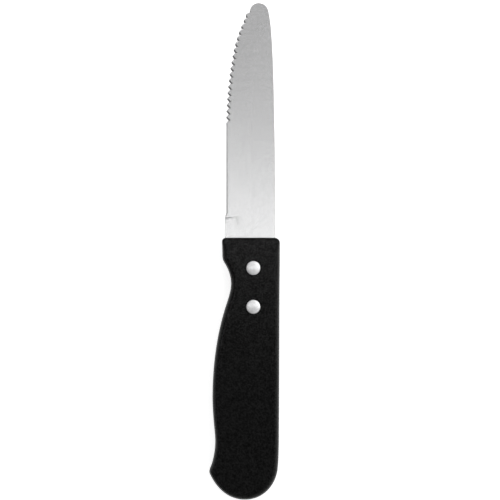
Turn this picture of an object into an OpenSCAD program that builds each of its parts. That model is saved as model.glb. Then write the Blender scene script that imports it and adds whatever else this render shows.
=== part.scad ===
// Jumbo steak knife, lying on its right side.
// X runs from the cutting edge (-X) to the spine (+X), Y from the butt (-Y)
// to the tip (+Y), Z up through the thickness. The origin is under the middle
// of the overall box, on the surface that the knife lies on. Millimetres.

/* [Overall] */
// Length of the blade in front of the handle
blade_l = 118.3; // [112:0.1:125]
// Length of the handle
handle_l = 131.7; // [128:0.1:136]
// Greatest width of the handle, from the beak to the front of the spine side
handle_w = 35.5; // [35:0.5:38]
// Thickness over both handle scales
handle_t = 16; // [14:0.5:18]

/* [Blade] */
// Thickness of the steel
blade_t = 1.5; // [1.2:0.1:2]
// Thickness that the taper grind leaves at the cutting edge
edge_t = 0.5; // [0.4:0.05:0.7]
// Width of the taper grind, measured in from the cutting edge
grind_w = 12; // [9:0.5:14]
// Distance from the handle to the start of the grind
heel_l = 9.4; // [9:0.1:11]
// Slant of the line where the grind starts, across the blade
plunge_slant = 0.09; // [0:0.01:0.12]
// Slope of the one-sided edge bevel and of the grooves between the teeth
bevel_a = 32; // [28:1:38]
// Flat land left on the sharp edge
edge_land = 0.06; // [0.04:0.01:0.1]
// Number of teeth
tooth_n = 18; // [10:1:18]
// Distance between tooth tips along the edge
tooth_p = 3.1; // [2.8:0.05:3.1]
// Depth of the grooves between the teeth
tooth_d = 1.4; // [0.9:0.1:1.5]

/* [Tang] */
// Length of the tang inside the handle
tang_l = 52; // [46:1:60]
// Width of the tang
tang_w = 17; // [14:0.5:17.5]
// Play between the tang and its pocket, on each side
tang_fit = 0.15; // [0.1:0.05:0.3]

/* [Handle] */
// Rounding along the sides and the butt
edge_r = 2.5; // [1.5:0.1:3]
// Rounding along the front, beside the blade
front_r = 0.8; // [0.5:0.1:1.2]
// Chamfer along the seam of the two scales
seam = 0.15; // [0.1:0.05:0.25]
// Diameter of the moulded locating pegs behind the tang
peg_d = 5; // [4:0.5:7]
// Height of the locating pegs
peg_h = 4; // [3:0.5:5]

/* [Rivets] */
// Diameter of a rivet head
head_d = 7.2; // [6.4:0.1:8]
// Height of a rivet head
head_h = 1.6; // [1.3:0.1:2]
// How far a head sits below the face of its scale
head_sink = 0.05; // [0.05:0.05:0.2]
// Outer diameter of the rivet sleeve
sleeve_d = 5; // [4.6:0.1:5.4]
// Diameter of the rivet pin, pressed into the sleeve
pin_d = 3; // [2.6:0.1:3.2]
// Distance of the front rivet from the front of the handle
rivet_1 = 15.2; // [14:0.1:18]
// Distance between the two rivets
rivet_gap = 19.5; // [16:0.5:21]

/* [Hidden] */

$fn = 64;
front_y = (handle_l - blade_l) / 2;   // front of the handle
mid_z = handle_t / 2;                 // seam of the scales, middle of the blade
half_t = handle_t / 2;
rivet_x = 4.4;
rivet_y = [-rivet_1, -rivet_1 - rivet_gap];
fit = 0.05;                           // play of heads and sleeves in the scales

// A cubic curve from a to d, without its last point
function bez(a, b, c, d, n) = [for (i = [0 : n - 1]) let (t = i / n, m = 1 - t)
    m*m*m*a + 3*m*m*t*b + 3*m*t*t*c + t*t*t*d];

// ---------------------------------------------------------------- the edge
// The cutting edge runs straight up from the heel, then along two arcs that
// meet smoothly, the second one tighter. s is the length along the edge from
// the start of the first arc, and the heading is 0 along +Y.
edge_x = -9.46;                               // line of the tooth tips
plain_in = 0.2;                               // how far the plain edge is ground back behind it
grow = blade_l - 118.5;
arc_r = [200, 80];
arc_a = [0, 10];
arc_p0 = [edge_x, 55.5 + grow];
function across(a) = [cos(a), -sin(a)];
arc_c0 = arc_p0 + arc_r[0] * across(arc_a[0]);
arc_p1 = arc_c0 - arc_r[0] * across(arc_a[1]);
arc_c = [arc_c0, arc_p1 + arc_r[1] * across(arc_a[1])];
arc_s = [0, arc_r[0] * (arc_a[1] - arc_a[0]) * PI / 180];
function arc_of(s) = s < arc_s[1] ? 0 : 1;
function heading(s) = s <= 0 ? 0 : let (i = arc_of(s))
    arc_a[i] + (s - arc_s[i]) / arc_r[i] * 180 / PI;
function edge_at(s) = s <= 0 ? arc_p0 + [0, s] : let (i = arc_of(s))
    arc_c[i] - arc_r[i] * across(heading(s));

tooth_top = 58.05;                            // the tooth nearest the tip
tooth_low = tooth_top - tooth_n * tooth_p;    // the lowest tooth
plain_s = tooth_low - 0.35;                   // where the plain edge ends
// Tooth tips, counted down from the top one, which is blunt and stands a
// little proud, with the next ones crowded up to it
tip_top = [0.62, 111.9 + grow];
function tip(k) = k == 0 ? tip_top : edge_at(tooth_top - k * tooth_p + 0.3 * pow(0.4, k - 1));
// Foot of the step between the top tooth and the round end
notch = [2.5, 114 + grow];
heel_s = heel_l - arc_p0[1];

// ------------------------------------------------------------- the outlines
// The outlines are drawn with the front of the handle at Y 0.

// The tang, with play g all round: full blade width at the mouth of the
// handle, then narrower past the shoulders, with round corners at its end
spine_x = 15.5;
tang_x0 = rivet_x - tang_w / 2;
tang_x1 = rivet_x + tang_w / 2;
tang_r = 4;
function tang_pts(g) = concat(
    [[-9.95 - g, 0], [-9.95 - g, -4 - g], [tang_x0 - g, -13 - g]],
    [for (a = [180 : 15 : 270]) [tang_x0 + tang_r + (tang_r + g) * cos(a), -tang_l + tang_r + (tang_r + g) * sin(a)]],
    [for (a = [270 : 15 : 360]) [tang_x1 - tang_r + (tang_r + g) * cos(a), -tang_l + tang_r + (tang_r + g) * sin(a)]],
    [[tang_x1 + g, -7 - g], [spine_x + g, -4 - g], [spine_x + g, 0]]);

blade_pts = concat(
    // down the edge from the round end, past the notch
    [[2.55, 114.1 + grow], notch, [0.72, 113.1 + grow], tip_top],
    [for (i = [0 : 40]) edge_at(57 + (plain_s - 57) * i / 40)],
    [for (i = [0 : 4]) let (s = (plain_s - 0.1) * (1 - i / 4)) edge_at(s) + plain_in * across(heading(s))],
    // heel and ricasso
    [[edge_x + plain_in, heel_l + 2.9], [-9.55, heel_l + 2.4], [-9.95, heel_l + 1.1]],
    // tang, down its left side and up its right side
    tang_pts(0),
    // spine
    bez([spine_x, 0], [spine_x, 20], [15.45, 38], [15.1, 55 + grow], 10),
    bez([15.1, 55 + grow], [14.75, 72 + grow], [14.55, 90 + grow], [13.35, 105 + grow], 14),
    bez([13.35, 105 + grow], [13.1, 108.1 + grow], [12.6, 111.6 + grow], [12.05, 114.2 + grow], 6),
    // round end
    bez([12.05, 114.2 + grow], [11.6, 116.5 + grow], [10, 118.5 + grow], [6.9, 118.5 + grow], 12),
    bez([6.9, 118.5 + grow], [4.3, 118.5 + grow], [2.55, 116.4 + grow], [2.55, 114.1 + grow], 12));

// The handle, drawn at 35.5 by 131.5 and stretched to the wanted size: down
// the belly side from the front corner to the butt, then up the spine side
handle_left = concat(
    bez([-9.5, 0], [-10.55, 0], [-11.4, -0.85], [-11.4, -1.9], 6),          // front corner
    bez([-11.4, -1.9], [-11.3, -4.3], [-11.25, -6.7], [-11.2, -9.1], 3),     // guard
    bez([-11.2, -9.1], [-11.12, -10.8], [-10.75, -11.6], [-10, -12.8], 6),     // its lower corner
    bez([-10, -12.8], [-8, -16.1], [-6.85, -19.5], [-6.85, -23.1], 8),     // finger notch
    bez([-6.85, -23.1], [-6.85, -26.7], [-8.25, -30.5], [-9.55, -34.5], 8),
    bez([-9.55, -34.5], [-14.05, -48.5], [-16.05, -63.5], [-16.18, -79.5], 13), // swell
    bez([-16.18, -79.5], [-16.2, -89.5], [-14.85, -97], [-14.8, -101.8], 9),  // waist
    bez([-14.8, -101.8], [-14.8, -106.5], [-15.7, -111.3], [-16.9, -114.4], 7),
    bez([-16.9, -114.4], [-17.4, -115.7], [-18.3, -117.2], [-17.3, -118.9], 7), // beak
    bez([-17.3, -118.9], [-16.2, -121.2], [-11.2, -131.5], [0.2, -131.5], 11)); // butt
handle_right = concat(
    bez([0.2, -131.5], [9.6, -131.5], [15.95, -124], [16.7, -115.5], 16),
    bez([16.7, -115.5], [17, -112.9], [17.15, -108], [17.25, -103.5], 6),
    bez([17.25, -103.5], [17.4, -81.5], [17.5, -51.5], [17.56, -28.5], 32),
    bez([17.56, -28.5], [17.6, -21.5], [17.75, -14.5], [17.75, -2.6], 18),
    bez([17.75, -2.6], [17.75, -1.15], [16.6, 0], [15.2, 0], 6),
    [[15.2, 0]]);
handle_pts = [for (p = concat(handle_left, handle_right))
    [p[0] * handle_w / 35.5, p[1] * handle_l / 131.5]];
hm = len(handle_left);
hn = len(handle_pts);

// Outward direction at a point of the handle's outline
function out_at(i) = let (d = handle_pts[(i + 1) % hn] - handle_pts[(i + hn - 1) % hn])
    [d[1], -d[0]] / norm(d);
// Rounding at a point: small along the front, full 4 mm behind it
function round_at(i) = front_r + (edge_r - front_r) * min(1, -handle_pts[i][1] / 4);

// The skin of one scale, from the seam (Z 0) up to its flat face
round_steps = 5;
function ring(k) = [for (i = [0 : hn - 1])
    let (r = round_at(i), a = 90 * max(0, k - 2) / round_steps,
         in = k == 0 ? seam : k == 1 ? 0 : r * (1 - cos(a)),
         z = k == 0 ? 0 : k == 1 ? seam : half_t - r + r * sin(a),
         p = handle_pts[i] - in * out_at(i))
    [p[0], p[1], z]];
rings = round_steps + 3;
scale_points = [for (k = [0 : rings - 1]) each ring(k)];
scale_faces = concat(
    [for (k = [0 : rings - 2]) for (i = [0 : hn - 1]) let (j = (i + 1) % hn)
        [k*hn + i, (k + 1)*hn + i, (k + 1)*hn + j, k*hn + j]],
    // flat face, rung by rung from the front to the butt
    let (b = (rings - 1) * hn) [for (i = [0 : hm - 2])
        [b + i, b + hn - 1 - i, b + hn - 2 - i, b + i + 1]],
    [let (b = (rings - 1) * hn) [b + hm - 1, b + hm + 1, b + hm]],
    // seam face
    [for (i = [0 : hm - 2]) [i, i + 1, hn - 2 - i, hn - 1 - i]],
    [[hm - 1, hm, hm + 1]]);

// ---------------------------------------------------------------- cutters
// Sweeps a profile along the edge. Each profile point is a distance out past
// the edge and a height above the blade's middle. Each station is a length
// along the edge, a lift of the whole profile, and a slant of its plane.
module along_edge(profile, stations) {
    n = len(profile);
    m = len(stations);
    polyhedron(
        [for (t = stations) for (q = profile)
            let (h = heading(t[0]),
                 p = edge_at(t[0]) + q[0] * [-cos(h), sin(h)] - q[0] * t[2] * [sin(h), cos(h)])
            [p[0], p[1], q[1] + t[1]]],
        concat(
            [for (k = [0 : m - 2]) for (i = [0 : n - 1]) let (j = (i + 1) % n)
                [k*n + i, (k + 1)*n + i, (k + 1)*n + j, k*n + j]],
            [[for (i = [0 : n - 1]) i]],
            [[for (i = [0 : n - 1]) (m - 1)*n + (n - i) % n]]),
        convexity = 8);
}

// Taper grind: the steel falls away faster and faster towards the edge. At
// the heel it plunges in over a short slanting step.
grind_d = (blade_t - edge_t) / 2;
function grind_at(u) = blade_t / 2 - grind_d * pow((u + grind_w) / grind_w, 2);
grind_steps = 4;
grind_first = grind_d / grind_w / grind_steps;
grind_profile = concat(
    [[-grind_w - 1.5, blade_t + 1], [-grind_w - 1.5, blade_t / 2 + 1.5 * grind_first]],
    [for (k = [1 : grind_steps]) let (u = -grind_w * (1 - k / grind_steps)) [u, grind_at(u)]],
    [[3, grind_at(0) - 0.1], [3, blade_t + 1]]);
grind_stations = concat(
    [[heel_s, grind_d, plunge_slant], [heel_s + 0.9, 0, plunge_slant], [0, 0, 0]],
    [for (k = [1 : 18]) [4.2 * k, 0, 0]]);

// One-sided bevel of the plain edge
bevel_low = -edge_t / 2 + edge_land;
bevel_profile = [[-3, 3], [-3, bevel_low + 3 * tan(bevel_a)], [2, bevel_low - 2 * tan(bevel_a)], [2, 3]];
bevel_lift = -plain_in * tan(bevel_a);
bevel_stations = concat([[heel_s + 2.2, bevel_lift, 0]],
    [for (k = [0 : 14]) if (plain_s > 4 * k + 0.2) [4 * k, bevel_lift, 0]], [[plain_s, bevel_lift, 0]]);

// V grooves between the teeth, ground from the left side of the blade. A
// flank's slope is how far it goes across the blade for each millimetre along
// it. Where the edge curves in, the grooves turn with it half way and leave
// broader tips.
flank = tooth_d / (0.48 * tooth_p);
function groove_heading(k) = heading(tooth_top - (k - 0.5) * tooth_p);
function curl(k) = min(1, groove_heading(k) / 24);
function lower_flank(k) = flank * (1 - 0.5 * curl(k));
function upper_flank(k) = flank * (1 + 0.45 * curl(k));
// Half of the flat on a tip
function tip_flat(k) = 0.15 + 0.4 * curl(k) + (k > 1 ? 0.25 : 0.05) * min(1, max(0, (groove_heading(k) - 12) / 3));
// Deepest point of the groove above tooth k
function valley(k) = let (a = tip(k - 1), b = tip(k), f = lower_flank(k), g = upper_flank(k), t = tip_flat(k),
    y = (a[0] - b[0] + f * (a[1] - t) + g * (b[1] + t)) / (f + g))
    [b[0] + g * (y - b[1] - t), y];
// Its depth under the edge's curve
function valley_in(k) = let (q = valley(k) - tip(k), h = groove_heading(k)) q[0] * cos(h) - q[1] * sin(h);

module groove(p, depth, above, below) {
    translate([p[0], p[1], -grind_at(-depth)]) rotate([0, -bevel_a, 0]) rotate([90, 0, 90])
        translate([0, 0, -4]) linear_extrude(9)
            polygon([[0, 0], [1.6 / sin(bevel_a) / above, 1.6], [-1.6 / sin(bevel_a) / below, 1.6]]);
}

// ---------------------------------------------------------------- sub-parts
module at_handle() { translate([0, front_y, mid_z]) children(); }

module blade() {
    color("silver") at_handle() difference() {
        translate([0, 0, -blade_t / 2]) linear_extrude(blade_t) polygon(blade_pts);
        along_edge(grind_profile, grind_stations);
        mirror([0, 0, 1]) along_edge(grind_profile, grind_stations);
        along_edge(bevel_profile, bevel_stations);
        groove(notch - [0.05, 0], 1, 1.46, 2.2);
        for (k = [1 : tooth_n]) groove(valley(k), valley_in(k), lower_flank(k), upper_flank(k));
        for (y = rivet_y) translate([rivet_x, y, -blade_t]) cylinder(d = sleeve_d + 0.2, h = 2 * blade_t);
    }
}

// Scale with half of the tang's pocket and stepped rivet holes
module half_handle() {
    difference() {
        polyhedron(scale_points, scale_faces, convexity = 8);
        translate([0, 0, -1]) linear_extrude(1 + blade_t / 2)
            polygon(concat([[-9.95 - tang_fit, 3]], tang_pts(tang_fit), [[spine_x + tang_fit, 3]]));
        for (y = rivet_y) translate([rivet_x, y, 0]) {
            translate([0, 0, -1]) cylinder(d = sleeve_d + 2 * fit, h = half_t + 2);
            translate([0, 0, half_t - head_h - head_sink]) cylinder(d = head_d + 2 * fit, h = head_h + 2);
        }
    }
}

// Pegs behind the tang, which keep the rear of the two scales in line
peg_at = [[1.5, -0.62 * handle_l], [0.5, -0.86 * handle_l]];

module left_scale() {
    color([0.11, 0.11, 0.12]) at_handle() difference() {
        half_handle();
        for (p = peg_at) translate([p[0], p[1], -1]) cylinder(d = peg_d + 2 * fit, h = peg_h + 1.3);
    }
}

module right_scale() {
    color([0.11, 0.11, 0.12]) at_handle() union() {
        mirror([0, 0, 1]) half_handle();
        for (p = peg_at) translate([p[0], p[1], -1]) cylinder(d = peg_d, h = peg_h + 1);
    }
}

// Low dome with a sloping rim; Z 0 is the seat under the head
function head_pts() = [[head_d / 2, 0], [head_d / 2, head_h - 0.48], [0.485 * head_d, head_h - 0.37], [0.395 * head_d, head_h - 0.2],
    [0.38 * head_d, head_h - 0.16], [0.28 * head_d, head_h - 0.08], [0.14 * head_d, head_h - 0.02], [0, head_h]];

// Solid half of a rivet, from the left side
pin_l = handle_t - 2 * head_h - 2 * head_sink - 1.5;
module rivet_pin(y) {
    color("gainsboro") at_handle() translate([rivet_x, y, half_t - head_h - head_sink])
        rotate_extrude() polygon(concat(
            [[0, -pin_l], [pin_d / 2 - 0.4, -pin_l], [pin_d / 2, -pin_l + 0.4], [pin_d / 2, 0]], head_pts()));
}

// Tubular half of a rivet, from the right side
sleeve_l = handle_t - 2 * head_h - 2 * head_sink - 0.4;
module rivet_sleeve(y) {
    color("gainsboro") at_handle() translate([rivet_x, y, -half_t + head_h + head_sink]) mirror([0, 0, 1])
        rotate_extrude() polygon(concat(
            [[pin_d / 2, -sleeve_l], [sleeve_d / 2 - 0.3, -sleeve_l], [sleeve_d / 2, -sleeve_l + 0.3], [sleeve_d / 2, 0]],
            head_pts(), [[0, -0.6], [pin_d / 2, -0.6]]));
}

module front_rivet_pin() { rivet_pin(rivet_y[0]); }
module front_rivet_sleeve() { rivet_sleeve(rivet_y[0]); }
module rear_rivet_pin() { rivet_pin(rivet_y[1]); }
module rear_rivet_sleeve() { rivet_sleeve(rivet_y[1]); }

blade();
left_scale();
right_scale();
front_rivet_pin();
front_rivet_sleeve();
rear_rivet_pin();
rear_rivet_sleeve();
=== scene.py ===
import math

import bmesh
import bpy
import numpy as np
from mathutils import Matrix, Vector


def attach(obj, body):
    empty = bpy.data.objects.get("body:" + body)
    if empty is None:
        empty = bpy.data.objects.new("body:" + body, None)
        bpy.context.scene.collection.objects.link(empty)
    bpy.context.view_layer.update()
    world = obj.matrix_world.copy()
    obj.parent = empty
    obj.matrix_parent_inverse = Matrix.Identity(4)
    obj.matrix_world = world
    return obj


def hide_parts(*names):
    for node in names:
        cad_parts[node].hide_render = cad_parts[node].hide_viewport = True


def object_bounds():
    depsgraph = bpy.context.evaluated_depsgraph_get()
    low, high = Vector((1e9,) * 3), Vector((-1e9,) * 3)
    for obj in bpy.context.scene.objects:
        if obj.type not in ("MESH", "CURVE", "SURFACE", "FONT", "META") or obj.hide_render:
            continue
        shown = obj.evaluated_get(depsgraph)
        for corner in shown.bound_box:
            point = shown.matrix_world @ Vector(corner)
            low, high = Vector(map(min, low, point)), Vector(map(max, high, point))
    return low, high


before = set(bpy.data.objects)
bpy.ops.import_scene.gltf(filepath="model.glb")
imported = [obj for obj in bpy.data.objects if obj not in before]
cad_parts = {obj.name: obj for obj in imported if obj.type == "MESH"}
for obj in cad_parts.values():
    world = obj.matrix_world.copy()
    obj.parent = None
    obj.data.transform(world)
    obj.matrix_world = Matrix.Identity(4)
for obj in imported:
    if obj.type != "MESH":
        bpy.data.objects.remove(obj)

cad_lo, cad_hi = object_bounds()
scene = bpy.context.scene
MM = 0.001

# ------------------------------------------------------------------ camera
# Straight down on the knife, tip up, with a long lens. The frame is 251.9 mm
# wide at the height of the blade.
cam_data = bpy.data.cameras.new("camera")
cam = bpy.data.objects.new("camera", cam_data)
scene.collection.objects.link(cam)
CAM_DIST = 3.0
cam_data.sensor_width = 36.0
cam_data.lens = 36.0 * CAM_DIST / 0.2519
cam_data.clip_start = 0.05
cam_data.clip_end = 60.0
cam.location = (0.00271, 0.00055, 0.008 + CAM_DIST)
cam.rotation_euler = (0.0, 0.0, 0.0)
scene.camera = cam


# ------------------------------------------------------------------ helpers
def bez(a, b, c, d, n, last=False):
    """Points of a cubic curve, without its last one unless asked for."""
    t = (np.arange(n + 1 if last else n) / n)[:, None]
    m = 1 - t
    a, b, c, d = (np.array(p, float) for p in (a, b, c, d))
    return m**3 * a + 3 * m * m * t * b + 3 * m * t * t * c + t**3 * d


def mesh_from(name, verts_mm, faces):
    """A closed mesh from points in millimetres, with its normals facing out."""
    bm = bmesh.new()
    vs = [bm.verts.new((x * MM, y * MM, z * MM)) for x, y, z in verts_mm]
    for f in faces:
        bm.faces.new([vs[i] for i in f])
    bmesh.ops.recalc_face_normals(bm, faces=bm.faces)
    me = bpy.data.meshes.new(name)
    bm.to_mesh(me)
    bm.free()
    return me


def piece_from(name, mesh):
    o = bpy.data.objects.new(name, mesh)
    scene.collection.objects.link(o)
    return o


def finish_mesh(mesh, angle):
    mesh.polygons.foreach_set("use_smooth", [True] * len(mesh.polygons))
    mesh.set_sharp_from_angle(angle=math.radians(angle))
    mesh.update()


def lathe(profile, cx, cy, cz, n=96, flip=1):
    """Points and faces of a profile of (r, z) turned about a vertical axis. The profile starts and ends on the axis or is closed."""
    verts, rings, faces = [], [], []
    for r, z in profile:
        if r < 1e-9:
            rings.append([len(verts)])
            verts.append((cx, cy, cz + flip * z))
        else:
            rings.append(list(range(len(verts), len(verts) + n)))
            for i in range(n):
                a = 2 * math.pi * i / n
                verts.append((cx + r * math.cos(a), cy + r * math.sin(a), cz + flip * z))
    for p, q in zip(rings, rings[1:]):
        for i in range(n):
            j = (i + 1) % n
            if len(p) == 1:
                faces.append((p[0], q[i], q[j]))
            elif len(q) == 1:
                faces.append((p[i], p[j], q[0]))
            else:
                faces.append((p[i], p[j], q[j], q[i]))
    return verts, faces


def prism(points, z0, z1):
    """Points and faces of a straight prism on a plan outline."""
    n = len(points)
    verts = [(x, y, z0) for x, y in points] + [(x, y, z1) for x, y in points]
    faces = [tuple(range(n)), tuple(range(2 * n - 1, n - 1, -1))]
    faces += [(i, (i + 1) % n, n + (i + 1) % n, n + i) for i in range(n)]
    return verts, faces


def carve(mesh, cutters, operation="DIFFERENCE"):
    """The mesh with the cutters taken away (or added), as a new mesh."""
    o = piece_from("carve_tmp", mesh)
    tools = []
    for k, (v, f) in enumerate(cutters):
        t = piece_from(f"carve_tool_{k}", mesh_from(f"carve_tool_{k}", v, f))
        t.hide_render = True
        m = o.modifiers.new(f"b{k}", "BOOLEAN")
        m.operation = operation
        m.solver = "EXACT"
        m.object = t
        tools.append(t)
    bpy.context.view_layer.update()
    dg = bpy.context.evaluated_depsgraph_get()
    out = bpy.data.meshes.new_from_object(o.evaluated_get(dg))
    for t in tools + [o]:
        bpy.data.objects.remove(t, do_unlink=True)
    return out


# ------------------------------------------------------------------ frame
FRONT, MID, HALF_T = 6.5, 8.0, 8.0      # foot of the blade's own plan, seam height, half thickness
HANDLE_Y = 0.2                          # front of the handle in that plan
RIVET_X, RIVET_Y = 4.4, (-15.0, -34.5)

# ------------------------------------------------------------------ blade
# The blade is drawn in its own plan, with the middle of the steel at Z 0.
HALF_B, GRIND_D, GRIND_W = 0.75, 0.5, 12.0
HEEL, PLUNGE, SLANT = 9.62, 0.88, 0.09
TAN_A = math.tan(math.radians(32))
EDGE_X, PLAIN_X = -9.46, -9.26          # line of the tooth tips, plain edge ground back behind it
R0, R1, H1 = 200.0, 80.0, math.radians(10)
A0 = np.array([EDGE_X, 55.5])
C0 = A0 + np.array([R0, 0.0])
A1 = C0 - R0 * np.array([math.cos(H1), -math.sin(H1)])
C1 = A1 + R1 * np.array([math.cos(H1), -math.sin(H1)])
S1 = R0 * H1


def heading(s):
    return 0.0 if s <= 0 else s / R0 if s < S1 else H1 + (s - S1) / R1


def edge_at(s):
    if s <= 0:
        return A0 + np.array([0.0, s])
    h = heading(s)
    d = np.array([math.cos(h), -math.sin(h)])
    return C0 - R0 * d if s < S1 else C1 - R1 * d


def outward(x, y):
    """Distance out past the cutting edge's curve."""
    if y <= A0[1]:
        return EDGE_X - x
    if math.atan2(y - C0[1], C0[0] - x) <= H1:
        return math.hypot(x - C0[0], y - C0[1]) - R0
    return math.hypot(x - C1[0], y - C1[1]) - R1


def grind(u):
    g = min(max((u + GRIND_W) / GRIND_W, 0.0), 1.1)
    return HALF_B - GRIND_D * g * g


def face_z(x, y):
    """Height of the ground face above the middle of the steel."""
    u = outward(x, y)
    ground = grind(u)
    depth = HALF_B - ground
    # a steep ramp near the edge that runs out into a long gentle one where the grind is shallow
    share = depth / GRIND_D
    ramp = PLUNGE * max(share, 0.05) + 7.0 * min(1.0, max(0.0, (0.44 - share) / 0.14)) ** 2
    end = HEEL - u * SLANT + PLUNGE
    return ground + depth * min(1.0, max(0.0, (end - y) / ramp))


TIP_L = bez((2.55, 114.1), (2.55, 116.4), (4.3, 118.5), (6.9, 118.5), 600, True)
SPINE = np.vstack([
    bez((15.5, 0), (15.5, 20), (15.45, 38), (15.1, 55), 60),
    bez((15.1, 55), (14.75, 72), (14.55, 90), (13.35, 105), 80),
    bez((13.35, 105), (13.1, 108.1), (12.6, 111.6), (12.05, 114.2), 60),
    bez((12.05, 114.2), (11.6, 116.5), (10.0, 118.5), (6.9, 118.5), 600, True)])
SPINE_X = 15.5
EDGE_TOP = edge_at(57.0)
TIP_TOP, BLUNT = np.array([0.62, 111.9]), np.array([0.72, 113.1])  # top tooth, which is blunt
NOTCH = np.array([2.5, 114.0])          # foot of the step above it
TIP_Y = 118.5
PLAIN_TOP = 57.4                        # where the plain edge meets the lowest tooth
TANG_X0, TANG_X1, TANG_L, TANG_R = RIVET_X - 8.5, RIVET_X + 8.5, 51.8, 4.0


def corner(y):
    """How far the tang's end corners come in at that height."""
    t = -TANG_L + TANG_R - y
    return 0.0 if t <= 0 else TANG_R - math.sqrt(max(0.0, TANG_R**2 - t * t))


def left_of(y):
    """Left outline of the steel, before the teeth are ground."""
    if y >= 114.1:
        return float(np.interp(y, TIP_L[:, 1], TIP_L[:, 0]))
    if y >= EDGE_TOP[1]:
        return float(np.interp(y, (EDGE_TOP[1], TIP_TOP[1], BLUNT[1], NOTCH[1], 114.1), (EDGE_TOP[0], TIP_TOP[0], BLUNT[0], NOTCH[0], 2.55)))
    if y >= A1[1]:
        return C1[0] - math.sqrt(R1**2 - (y - C1[1]) ** 2)
    if y >= A0[1]:
        back = PLAIN_X - EDGE_X if y < PLAIN_TOP else 0.0
        return C0[0] - math.sqrt(R0**2 - (y - C0[1]) ** 2) + back
    if y >= -4:
        return float(np.interp(y, (10.7, 12.0, 12.5), (-9.95, -9.55, PLAIN_X)))
    return float(np.interp(y, (-13, -4), (TANG_X0, -9.95))) + corner(y)


def right_of(y):
    if y >= 0:
        return float(np.interp(y, SPINE[:, 1], SPINE[:, 0]))
    if y >= -4:
        return SPINE_X
    return float(np.interp(y, (-7, -4), (TANG_X1, SPINE_X))) - corner(y)


# V grooves between the teeth, ground from the left face. A flank's slope is how
# far it goes across the blade for each millimetre along it; where the edge curves
# in, the grooves turn with it half way and leave broader tips.
PITCH, DEPTH, TEETH = 3.1, 1.4, 18
FLANK = DEPTH / (0.48 * PITCH)
TIP_FLAT = 0.15                         # half of the flat on a tip
TIPS = [TIP_TOP] + [edge_at(58.05 - k * PITCH + 0.3 * 0.4 ** (k - 1)) for k in range(1, TEETH + 1)]
GROOVES = [(NOTCH[0] - 0.05, NOTCH[1], -grind(-1.0), 1.46, 2.2)]
for k in range(1, TEETH + 1):
    h = heading(58.05 - (k - 0.5) * PITCH)
    curl = min(1.0, math.degrees(h) / 24)
    f, g = FLANK * (1 - 0.5 * curl), FLANK * (1 + 0.45 * curl)
    flat = TIP_FLAT + 0.4 * curl + (0.25 if k > 1 else 0.05) * min(1.0, max(0.0, (math.degrees(h) - 12) / 3))
    (ax, ay), (bx, by) = TIPS[k - 1], TIPS[k]
    yv = (ax - bx + f * (ay - flat) + g * (by + flat)) / (f + g)
    xv = bx + g * (yv - by - flat)
    GROOVES.append((xv, yv, -grind(-((xv - bx) * math.cos(h) - (yv - by) * math.sin(h))), f, g))
LAND = 0.05


def ground_edge(y):
    """(x of the ground edge at the back face, its height) at y, or None where nothing is ground."""
    best = None
    for xv, yv, zv, above, below in GROOVES:
        if abs(y - yv) < 2.6:
            x = xv - (above * (y - yv) if y > yv else below * (yv - y))
            if best is None or x > best[0]:
                best = (x, zv)
    if 10.2 <= y < PLAIN_TOP:
        # the bevel of the plain edge runs out over the heel
        t = min(1.0, (y - 10.2) / 1.0)
        x = left_of(min(y, 14.0)) - 1.6 * (1 - t) ** 2
        if best is None or x > best[0]:
            best = (x, -grind(EDGE_X - PLAIN_X))
    return best


NF, NC = 5, 18                          # steps of a small chamfer, columns of a face
BREAK = 0.14                            # chamfer that breaks the edges of the steel


def slope(f, y):
    e = 0.004
    hi, lo = min(y + e, TIP_Y), max(y - e, -TANG_L)
    return (f(hi) - f(lo)) / (hi - lo)


def section(y):
    """Closed loop of (x, z) across the steel at y."""
    ge = ground_edge(y)
    xl, xr = left_of(y), right_of(y)
    if ge is not None:
        xl = max(xl, ge[0])
    kl = math.hypot(1, slope(left_of, y)) if not (EDGE_TOP[1] > y > 12.6) else 1.0
    kr = math.hypot(1, slope(right_of, y))
    wide = xr - xl
    rl, rr = min(BREAK * kl, 0.3 * wide), min(BREAK * kr, 0.45 * wide)
    # left side: a facet where the edge is ground, a small chamfer elsewhere
    facet = None
    if ge is not None:
        x = ge[0] + 0.8
        for _ in range(8):
            x = ge[0] + (face_z(x, y) - ge[1] - LAND) / TAN_A
        if x > xl + 0.1:
            facet = x
    top, bottom = [], []
    zl = face_z(xl, y)
    if facet is not None:
        z0 = min(max(ge[1] + LAND + TAN_A * (xl - ge[0]), -zl + 0.03), zl)
        for i in range(NF + 1):
            x = xl + (facet - xl) * i / NF
            top.append((x, min(max(ge[1] + LAND + TAN_A * (x - ge[0]), z0), face_z(x, y))))
        for i in range(NF + 1):
            x = xl + 0.4 * i / NF
            bottom.append((x, -face_z(x, y)))
    else:
        for i in range(NF + 1):
            x = xl + rl * i / NF
            drop = BREAK * (1 - i / NF)
            top.append((x, face_z(x, y) - drop))
            bottom.append((x, -face_z(x, y) + drop))
    x0, x1 = top[-1][0], xr - rr
    top += [(x, face_z(x, y)) for x in (x0 + (x1 - x0) * i / NC for i in range(1, NC))]
    b0 = bottom[-1][0]
    bottom += [(x, -face_z(x, y)) for x in (b0 + (x1 - b0) * i / NC for i in range(1, NC))]
    for i in range(NF + 1):
        x = x1 + rr * i / NF
        drop = BREAK * i / NF
        top.append((x, face_z(x, y) - drop))
        bottom.append((x, -face_z(x, y) + drop))
    return top + bottom[::-1]


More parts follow.
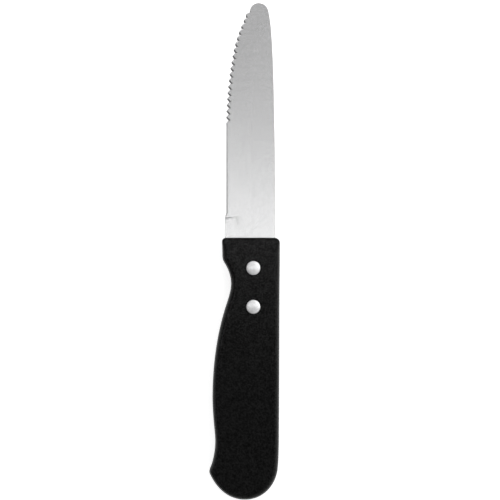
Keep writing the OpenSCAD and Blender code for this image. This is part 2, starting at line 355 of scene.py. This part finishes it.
rows = [-TANG_L + d for d in (0.0, 0.14, 0.54, 1.17, 2.0, 2.96, 4.0)]
rows += [-44.0, -40.0, -34.5, -28.0, -21.0, -15.0, -13.0,
        -11.0, -9.0, -7.0, -5.5, -4.0, -2.0, 0.0, 3.0, 6.0, 8.0, 9.3, HEEL - 0.02]
rows += [HEEL + PLUNGE * i / 10 for i in range(11)]
rows += [HEEL + PLUNGE + 0.03, 10.6, 10.7, 10.9, 11.2, 11.5, 11.75, 12.0, 12.25, 12.5, 13.0, 14.0, 16.0]
rows += list(np.arange(19.0, 56.1, 2.85))
knees = sorted([float(q[1]) + d for q in TIPS for d in (-TIP_FLAT, TIP_FLAT)] + [float(g[1]) for g in GROOVES] + [float(BLUNT[1])])
rows += [PLAIN_TOP - 0.05, PLAIN_TOP + 0.03, knees[0]]
for a, b in zip(knees, knees[1:]):
    rows += list(np.linspace(a, b, 3 if b - a < 0.4 else 6)[1:])
rows += list(np.linspace(knees[-1], 115.4, 14)[1:])
rows += [TIP_Y - (TIP_Y - 115.4) * math.cos(math.pi / 2 * i / 26) for i in range(1, 26)]
rows += [TIP_Y - 0.006, TIP_Y - 0.0015]

verts, faces = [], []
count = None
for y in rows:
    loop = section(y)
    count = len(loop)
    # near the plunge the rows lean the same way as it does
    lean = SLANT * float(np.interp(y, (8.0, 9.8, 10.6, 16.0), (0, 1, 1, 0)))
    if lean:
        leant = []
        for x, z in loop:
            yy = y + lean * (x - EDGE_X)
            side = 1 if z > 0 else -1
            was = face_z(x, y)
            leant.append((x, yy, z + side * (face_z(x, yy) - was)))
        pts = leant
    else:
        pts = [(x, y, z) for x, z in loop]
    verts += [(x, yy + FRONT, z + MID) for x, yy, z in pts]
for i in range(len(rows) - 1):
    for j in range(count):
        k = (j + 1) % count
        faces.append((i * count + j, i * count + k, (i + 1) * count + k, (i + 1) * count + j))
faces.append(tuple(range(count)))
faces.append(tuple((len(rows) - 1) * count + j for j in range(count))[::-1])
blade_mesh = mesh_from("blade_raw", verts, faces)
holes = [lathe([(0, -2), (2.6, -2), (2.6, 2), (0, 2)], RIVET_X, y + FRONT, MID, 64) for y in RIVET_Y]
blade_mesh = carve(blade_mesh, holes)
blade_mesh.name = "knife_blade"
finish_mesh(blade_mesh, 21)
blade = piece_from("knife_blade", blade_mesh)

# ------------------------------------------------------------------ handle
LEFT_CURVES = [
    ((-9.5, 0), (-10.55, 0), (-11.4, -0.85), (-11.4, -1.9), 14),
    ((-11.4, -1.9), (-11.3, -4.3), (-11.25, -6.7), (-11.2, -9.1), 10),
    ((-11.2, -9.1), (-11.12, -10.8), (-10.75, -11.6), (-10, -12.8), 14),
    ((-10, -12.8), (-8, -16.1), (-6.85, -19.5), (-6.85, -23.1), 20),
    ((-6.85, -23.1), (-6.85, -26.7), (-8.25, -30.5), (-9.55, -34.5), 20),
    ((-9.55, -34.5), (-14.05, -48.5), (-16.05, -63.5), (-16.18, -79.5), 36),
    ((-16.18, -79.5), (-16.2, -89.5), (-14.85, -97), (-14.8, -101.8), 20),
    ((-14.8, -101.8), (-14.8, -106.5), (-15.7, -111.3), (-16.9, -114.4), 18),
    ((-16.9, -114.4), (-17.4, -115.7), (-18.3, -117.2), (-17.3, -118.9), 20),
    ((-17.3, -118.9), (-16.2, -121.2), (-11.2, -131.5), (0.2, -131.5), 32)]
RIGHT_CURVES = [
    ((0.2, -131.5), (9.6, -131.5), (15.95, -124), (16.7, -115.5), 32),
    ((16.7, -115.5), (17, -112.9), (17.15, -108), (17.25, -103.5), 14),
    ((17.25, -103.5), (17.4, -81.5), (17.5, -51.5), (17.56, -28.5), 50),
    ((17.56, -28.5), (17.6, -21.5), (17.75, -14.5), (17.75, -2.6), 24),
    ((17.75, -2.6), (17.75, -1.15), (16.6, 0), (15.2, 0), 14)]
FRONT_LINE = [(15.2 - 24.7 * i / 20, 0.0) for i in range(20)]
OUTLINE = np.vstack([bez(*c) for c in LEFT_CURVES] + [bez(*c) for c in RIGHT_CURVES] + [np.array(FRONT_LINE)])
_t = np.clip(-OUTLINE[:, 1] / 7.0, 0, 1)
OUTLINE[:, 0] = np.maximum(OUTLINE[:, 0], cad_lo[0] / MM)
OUTLINE[:, 1] = OUTLINE[:, 1] * 131.7 / 131.5 + HANDLE_Y
_d = np.roll(OUTLINE, -1, 0) - np.roll(OUTLINE, 1, 0)
OUT = np.stack([_d[:, 1], -_d[:, 0]], 1) / np.linalg.norm(_d, axis=1)[:, None]
ROUND = 0.8 + 1.7 * _t * _t * (3 - 2 * _t)


def tang_outline(g):
    pts = [(-9.95 - g, 3.0), (-9.95 - g, -4 - g), (TANG_X0 - g, -13 - g)]
    for a in range(180, 271, 6):
        pts.append((TANG_X0 + TANG_R + (TANG_R + g) * math.cos(math.radians(a)), -TANG_L + TANG_R + (TANG_R + g) * math.sin(math.radians(a))))
    for a in range(270, 361, 6):
        pts.append((TANG_X1 - TANG_R + (TANG_R + g) * math.cos(math.radians(a)), -TANG_L + TANG_R + (TANG_R + g) * math.sin(math.radians(a))))
    return pts + [(TANG_X1 + g, -7 - g), (SPINE_X + g, -4 - g), (SPINE_X + g, 3.0)]


SEAM, ROUND_STEPS = 0.15, 10


def handle_half(side):
    """One scale's mesh; side is 1 for the upper one and -1 for the lower one."""
    rings = [(np.full(len(OUTLINE), SEAM), np.zeros(len(OUTLINE))), (np.zeros(len(OUTLINE)), np.full(len(OUTLINE), SEAM))]
    for f in (0.33, 0.66):
        rings.append((np.zeros(len(OUTLINE)), SEAM + (HALF_T - ROUND - SEAM) * f))
    for i in range(ROUND_STEPS + 1):
        a = math.pi / 2 * i / ROUND_STEPS
        rings.append((ROUND * (1 - math.cos(a)), HALF_T - ROUND + ROUND * math.sin(a)))
    rings.append((ROUND + 0.35, np.full(len(OUTLINE), HALF_T)))
    n, verts, faces = len(OUTLINE), [], []
    for inset, z in rings:
        p = OUTLINE - inset[:, None] * OUT
        verts += [(p[i, 0], p[i, 1] + FRONT, MID + side * z[i]) for i in range(n)]
    for k in range(len(rings) - 1):
        for i in range(n):
            j = (i + 1) % n
            faces.append((k * n + i, k * n + j, (k + 1) * n + j, (k + 1) * n + i))
    faces.append(tuple(range(n)))
    faces.append(tuple((len(rings) - 1) * n + i for i in range(n))[::-1])
    body = mesh_from("scale_raw", verts, faces)
    cuts = [prism([(x, y + FRONT) for x, y in tang_outline(0.15)], MID - side * 1.0, MID + side * HALF_B)]
    for y in RIVET_Y:
        cuts.append(lathe([(0, -1.0), (2.55, -1.0), (2.55, HALF_T - 1.65), (3.65, HALF_T - 1.65), (3.65, HALF_T - 0.12),
                           (3.78, HALF_T + 0.01), (3.78, HALF_T + 1), (0, HALF_T + 1)], RIVET_X, y + FRONT, MID, 96, side))
    pegs = [(1.5, -0.62 * 131.5), (0.5, -0.86 * 131.5)]
    if side > 0:
        for x, y in pegs:
            cuts.append(lathe([(0, -1.0), (2.55, -1.0), (2.55, 4.3), (0, 4.3)], x, y + FRONT, MID, 48))
    body = carve(body, cuts)
    if side < 0:
        body = carve(body, [lathe([(0, -1.0), (2.5, -1.0), (2.5, 3.7), (2.2, 4.0), (0, 4.0)], x, y + FRONT, MID, 48) for x, y in pegs], "UNION")
    finish_mesh(body, 25)
    return body


left_mesh, right_mesh = handle_half(1), handle_half(-1)
left_mesh.name, right_mesh.name = "handle_scale_left", "handle_scale_right"
left_scale = piece_from("handle_scale_left", left_mesh)
right_scale = piece_from("handle_scale_right", right_mesh)


# ------------------------------------------------------------------ rivets
def arc(cx, cy, r, a0, a1, n):
    return [(cx + r * math.cos(math.radians(a0 + (a1 - a0) * i / n)), cy + r * math.sin(math.radians(a0 + (a1 - a0) * i / n))) for i in range(n + 1)]


def head_profile():
    """(r, z) of a rivet head from its seat to its middle: a round corner, a sloping rim, a small step and a low dome."""
    pts = [(3.5, 0.0), (3.6, 0.1), (3.6, 1.05), (3.59, 1.11), (3.56, 1.165), (3.505, 1.21), (3.42, 1.245)]
    pts += [(3.2, 1.297), (3.0, 1.343), (2.87, 1.371), (2.80, 1.388), (2.73, 1.404)]
    for r in np.linspace(2.55, 0.0, 14):
        pts.append((float(r), 1.6 - 0.196 * (float(r) / 2.73) ** 2.0))
    pts[-1] = (0.0, 1.6)
    return pts


def rivet(name, y, sleeve):
    seat = HALF_T - 1.65
    if sleeve:
        prof = [(0, -0.6), (1.5, -0.6), (1.5, -12.15), (1.62, -12.3), (2.2, -12.3), (2.36, -12.24), (2.5, -12.0), (2.5, 0.0)] + head_profile()
        v, f = lathe(prof, RIVET_X, y + FRONT, MID - seat, 96, -1)
    else:
        prof = [(0, -11.2), (1.1, -11.2), (1.32, -11.12), (1.5, -10.8), (1.5, 0.0)] + head_profile()
        v, f = lathe(prof, RIVET_X, y + FRONT, MID + seat, 96, 1)
    me = mesh_from(name, v, f)
    finish_mesh(me, 32)
    return piece_from(name, me)


front_pin = rivet("front_rivet_head_and_pin", RIVET_Y[0], False)
front_sleeve = rivet("front_rivet_head_and_sleeve", RIVET_Y[0], True)
rear_pin = rivet("rear_rivet_head_and_pin", RIVET_Y[1], False)
rear_sleeve = rivet("rear_rivet_head_and_sleeve", RIVET_Y[1], True)


# ------------------------------------------------------------------ materials
class Nodes:
    """Short names for making a material's nodes."""

    def __init__(self, name):
        self.mat = bpy.data.materials.new(name)
        self.mat.use_nodes = True
        self.tree = self.mat.node_tree
        self.tree.nodes.clear()
        self.out = self.tree.nodes.new("ShaderNodeOutputMaterial")
        self.bsdf = self.tree.nodes.new("ShaderNodeBsdfPrincipled")
        self.link(self.bsdf.outputs["BSDF"], self.out.inputs["Surface"])

    def link(self, a, b):
        self.tree.links.new(a, b)

    def coords(self, which, scale=(1, 1, 1), loc=(0, 0, 0)):
        tc = self.tree.nodes.new("ShaderNodeTexCoord")
        mp = self.tree.nodes.new("ShaderNodeMapping")
        mp.inputs["Scale"].default_value = scale
        mp.inputs["Location"].default_value = loc
        self.link(tc.outputs[which], mp.inputs["Vector"])
        return mp.outputs["Vector"]

    def noise(self, vec, scale, detail=3.0, rough=0.55, dims="3D"):
        n = self.tree.nodes.new("ShaderNodeTexNoise")
        n.noise_dimensions = dims
        n.inputs["Scale"].default_value = scale
        n.inputs["Detail"].default_value = detail
        n.inputs["Roughness"].default_value = rough
        self.link(vec, n.inputs["W" if dims == "1D" else "Vector"])
        return n.outputs["Fac"]

    def ramp(self, fac, stops):
        r = self.tree.nodes.new("ShaderNodeValToRGB")
        els = r.color_ramp.elements
        while len(els) < len(stops):
            els.new(0.5)
        for e, (p, c) in zip(els, stops):
            e.position = p
            e.color = (*((c,) * 3 if isinstance(c, (int, float)) else c), 1.0)
        self.link(fac, r.inputs["Fac"])
        return r.outputs["Color"]

    def span(self, fac, a, b, lo=0.3, hi=0.7):
        m = self.tree.nodes.new("ShaderNodeMapRange")
        m.inputs["From Min"].default_value = lo
        m.inputs["From Max"].default_value = hi
        m.inputs["To Min"].default_value = a
        m.inputs["To Max"].default_value = b
        self.link(fac, m.inputs["Value"])
        return m.outputs["Result"]

    def math(self, op, a, b=None):
        m = self.tree.nodes.new("ShaderNodeMath")
        m.operation = op
        for k, v in enumerate((a, b)):
            if v is None:
                continue
            if isinstance(v, (int, float)):
                m.inputs[k].default_value = v
            else:
                self.link(v, m.inputs[k])
        return m.outputs["Value"]

    def bump(self, height, distance, strength=1.0, before=None):
        b = self.tree.nodes.new("ShaderNodeBump")
        b.inputs["Strength"].default_value = strength
        b.inputs["Distance"].default_value = distance
        self.link(height, b.inputs["Height"])
        if before is not None:
            self.link(before, b.inputs["Normal"])
        return b.outputs["Normal"]

    def put(self, socket, value):
        if isinstance(value, (int, float, tuple)):
            self.bsdf.inputs[socket].default_value = value
        else:
            self.link(value, self.bsdf.inputs[socket])


def steel():
    n = Nodes("satin_ground_steel")
    fine = n.noise(n.coords("Object", (60, 9000, 60)), 1.0, 3.0, 0.6)
    broad = n.noise(n.coords("Object", (25, 900, 25)), 1.0, 2.0, 0.5)
    cloud = n.noise(n.coords("Object"), 90.0, 2.0, 0.5)
    mottle = n.noise(n.coords("Object"), 700.0, 2.0, 0.5)
    mix = n.math("ADD", n.math("MULTIPLY", mottle, 0.6), n.math("MULTIPLY", n.math("ADD", fine, broad), 0.2))
    n.put("Base Color", n.ramp(mix, [(0.3, (0.634, 0.634, 0.638)), (0.7, (0.725, 0.725, 0.729))]))
    n.put("Metallic", 1.0)
    n.put("Roughness", n.span(n.math("ADD", n.math("MULTIPLY", broad, 0.5), n.math("MULTIPLY", cloud, 0.5)), 0.224, 0.246))
    n.put("Normal", n.bump(fine, 1.6e-6))
    return n.mat


def plastic():
    n = Nodes("black_grained_plastic")
    vec = n.coords("Object")
    small = n.noise(vec, 1300.0, 2.0, 0.5)
    blotch = n.noise(vec, 520.0, 2.0, 0.5)
    grain = n.math("ADD", n.math("MULTIPLY", small, 0.75), n.math("MULTIPLY", blotch, 0.25))
    fine = n.noise(vec, 4200.0, 2.0, 0.5)
    cloud = n.noise(vec, 70.0, 2.0, 0.5)
    n.put("Base Color", n.ramp(grain, [(0.38, 0.0020), (0.50, 0.0041), (0.62, 0.0079)]))
    n.put("Roughness", n.span(cloud, 0.13, 0.18))
    # the rounded edges are smoother than the flat faces and the sides
    side = n.tree.nodes.new("ShaderNodeSeparateXYZ")
    n.link(n.coords("Normal"), side.inputs[0])
    tilt = n.math("ABSOLUTE", side.outputs["Z"])
    smooth = n.math("MULTIPLY", n.span(tilt, 0.40, 0.0, 0.72, 0.97), n.span(tilt, 0.0, 1.0, 0.40, 0.70))
    n.put("Specular IOR Level", n.math("ADD", n.span(grain, 0.035, 0.14, 0.38, 0.62), smooth))
    n.put("Normal", n.bump(fine, 5e-6, 1.0, n.bump(small, 2.2e-5)))
    return n.mat


def rivet_metal():
    n = Nodes("turned_rivet_metal")
    vec = n.coords("Generated", (1, 1, 0), (-0.5, -0.5, 0))
    ln = n.tree.nodes.new("ShaderNodeVectorMath")
    ln.operation = "LENGTH"
    n.link(vec, ln.inputs[0])
    turned = n.noise(ln.outputs["Value"], 90.0, 3.0, 0.6, "1D")
    spots = n.noise(n.coords("Object"), 900.0, 3.0, 0.6)
    n.put("Base Color", n.ramp(spots, [(0.3, (0.75, 0.75, 0.755)), (0.7, (0.85, 0.85, 0.855))]))
    n.put("Metallic", 1.0)
    n.put("Roughness", n.span(spots, 0.28, 0.36))
    n.put("Normal", n.bump(turned, 4e-6, 1.0, n.bump(spots, 6e-6)))
    return n.mat


steel_mat, plastic_mat, rivet_mat = steel(), plastic(), rivet_metal()
for piece, node, slot, mat in (
        (blade, "blade", "blade_steel", steel_mat),
        (left_scale, "left_scale", "handle_plastic", plastic_mat),
        (right_scale, "right_scale", "handle_plastic", plastic_mat),
        (front_pin, "front_rivet_pin", "rivet_metal", rivet_mat),
        (front_sleeve, "front_rivet_sleeve", "rivet_metal", rivet_mat),
        (rear_pin, "rear_rivet_pin", "rivet_metal", rivet_mat),
        (rear_sleeve, "rear_rivet_sleeve", "rivet_metal", rivet_mat)):
    piece.data.materials.clear()
    piece.data.materials.append(mat)
    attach(piece, "root")
    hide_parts(node)

# ------------------------------------------------------------------ stage
floor_mesh = bpy.data.meshes.new("floor")
floor_mesh.from_pydata([(-12, -12, -0.0001), (12, -12, -0.0001), (12, 12, -0.0001), (-12, 12, -0.0001)], [], [(0, 1, 2, 3)])
floor = piece_from("floor", floor_mesh)
fn = Nodes("pale_floor")
fn.put("Base Color", fn.ramp(fn.noise(fn.coords("Object"), 3.0, 2.0), [(0.3, 0.90), (0.7, 0.92)]))
fn.put("Roughness", 0.9)
fn.put("Specular IOR Level", 0.0)
fn.put("Emission Color", (1.0, 1.0, 1.0, 1.0))
fn.put("Emission Strength", 0.68)
floor_mesh.materials.append(fn.mat)

# Light tent: dim straight above, bright half way up the sides, brighter
# towards the upper right than towards the lower left
world = bpy.data.worlds.new("tent")
scene.world = world
world.use_nodes = True
wt = world.node_tree
wt.nodes.clear()
w_out = wt.nodes.new("ShaderNodeOutputWorld")
w_bg = wt.nodes.new("ShaderNodeBackground")
w_tc = wt.nodes.new("ShaderNodeTexCoord")
w_sep = wt.nodes.new("ShaderNodeSeparateXYZ")
w_ramp = wt.nodes.new("ShaderNodeValToRGB")
stops = [(0.0, 0.24), (0.12, 0.36), (0.26, 0.62), (0.44, 0.92), (0.60, 0.86), (0.80, 0.98), (0.93, 0.84), (1.0, 0.54)]
els = w_ramp.color_ramp.elements
while len(els) < len(stops):
    els.new(0.5)
for e, (p, c) in zip(els, stops):
    e.position = p
    e.color = (c / 2, c / 2, c / 2, 1.0)


def w_math(op, a, b):
    m = wt.nodes.new("ShaderNodeMath")
    m.operation = op
    for k, v in enumerate((a, b)):
        if isinstance(v, (int, float)):
            m.inputs[k].default_value = v
        else:
            wt.links.new(v, m.inputs[k])
    return m.outputs["Value"]


def w_span(value, lo, hi, a, b):
    m = wt.nodes.new("ShaderNodeMapRange")
    m.interpolation_type = "SMOOTHSTEP"
    for name, v in (("From Min", lo), ("From Max", hi), ("To Min", a), ("To Max", b)):
        m.inputs[name].default_value = v
    wt.links.new(value, m.inputs["Value"])
    return m.outputs["Result"]


wt.links.new(w_tc.outputs["Generated"], w_sep.inputs[0])
wt.links.new(w_sep.outputs["Z"], w_ramp.inputs["Fac"])
w_x, w_y, w_z = (w_sep.outputs[k] for k in "XYZ")
lean = w_math("MULTIPLY", w_x, w_math("MULTIPLY", w_span(w_z, 0.70, 0.86, 0.30, 0.95), w_span(w_z, 0.95, 0.985, 1.0, 0.0)))
lean = w_math("ADD", lean, w_math("MULTIPLY", w_x, w_span(w_z, 0.955, 0.985, 0.0, -1.3)))
lean = w_math("ADD", lean, w_math("MULTIPLY", w_y, w_span(w_z, 0.62, 0.86, 0.30, 0.65)))
# towards the left it is bright ahead and dark behind, low down
left = w_math("MULTIPLY", w_span(w_x, -0.62, -0.40, 1.0, 0.0), w_span(w_z, 0.30, 0.50, 1.0, 0.0))
lean = w_math("ADD", lean, w_math("MULTIPLY", w_y, left))
lean = w_math("MAXIMUM", w_math("ADD", lean, 1.0), 0.15)
level = w_math("MULTIPLY", w_math("MULTIPLY", w_ramp.outputs["Color"], 2.0), lean)
# a dark opening behind the tip
behind = w_math("SUBTRACT", w_y, w_math("MULTIPLY", w_math("ABSOLUTE", w_x, 0.0), 1.2))
gap = w_math("MULTIPLY", w_span(behind, 0.40, 0.68, 0.0, 0.86), w_span(w_z, 0.46, 0.62, 1.0, 0.0))
level = w_math("MULTIPLY", level, w_math("SUBTRACT", 1.0, gap))
# a dark card low on the left, towards the handle
card = w_math("MULTIPLY", w_span(w_x, -0.80, -0.62, 0.6, 0.0), w_span(w_y, -0.20, -0.06, 1.0, 0.0))
card = w_math("MULTIPLY", card, w_math("MULTIPLY", w_span(w_z, 0.22, 0.32, 0.0, 1.0), w_span(w_z, 0.46, 0.58, 1.0, 0.0)))
level = w_math("MULTIPLY", level, w_math("SUBTRACT", 1.0, card))
# a faint panel square on the left
panel = w_math("MULTIPLY", w_span(w_x, -0.92, -0.72, 0.28, 0.0), w_math("MULTIPLY", w_span(w_y, -0.16, -0.04, 0.0, 1.0), w_span(w_y, 0.15, 0.35, 1.0, 0.0)))
level = w_math("ADD", level, w_math("MULTIPLY", panel, w_span(w_z, 0.22, 0.40, 0.0, 1.0)))
# a white wall low on the right
wall = w_math("MULTIPLY", w_span(w_x, 0.45, 0.80, 0.0, 0.25), w_span(w_z, 0.16, 0.46, 1.0, 0.0))
level = w_math("ADD", level, wall)
wt.links.new(level, w_bg.inputs["Strength"])
wt.links.new(w_bg.outputs["Background"], w_out.inputs["Surface"])


def area_light(name, loc, look_at, size, radiance):
    d = bpy.data.lights.new(name, "AREA")
    d.shape = "RECTANGLE"
    d.size, d.size_y = size
    d.energy = radiance * size[0] * size[1] * math.pi
    o = bpy.data.objects.new(name, d)
    scene.collection.objects.link(o)
    o.location = loc
    o.rotation_euler = (Vector(look_at) - Vector(loc)).to_track_quat("-Z", "Y").to_euler()
    o.visible_camera = False
    return o


area_light("softbox", (0.1, 0.007, 0.8), (0.1, 0.007, 0.0), (0.8, 0.05), 2.0)
area_light("lamp", (0.0135, 0.0068, 0.25), (0.0135, 0.0068, 0.0), (0.187, 0.0143), 0.62)
area_light("key", (0.44, 0.28, 0.95), (0.0, 0.0, 0.0), (0.45, 0.6), 0.85)

scene.view_settings.view_transform = "Standard"
scene.view_settings.look = "None"
scene.view_settings.exposure = 0.0
scene.view_settings.gamma = 1.0
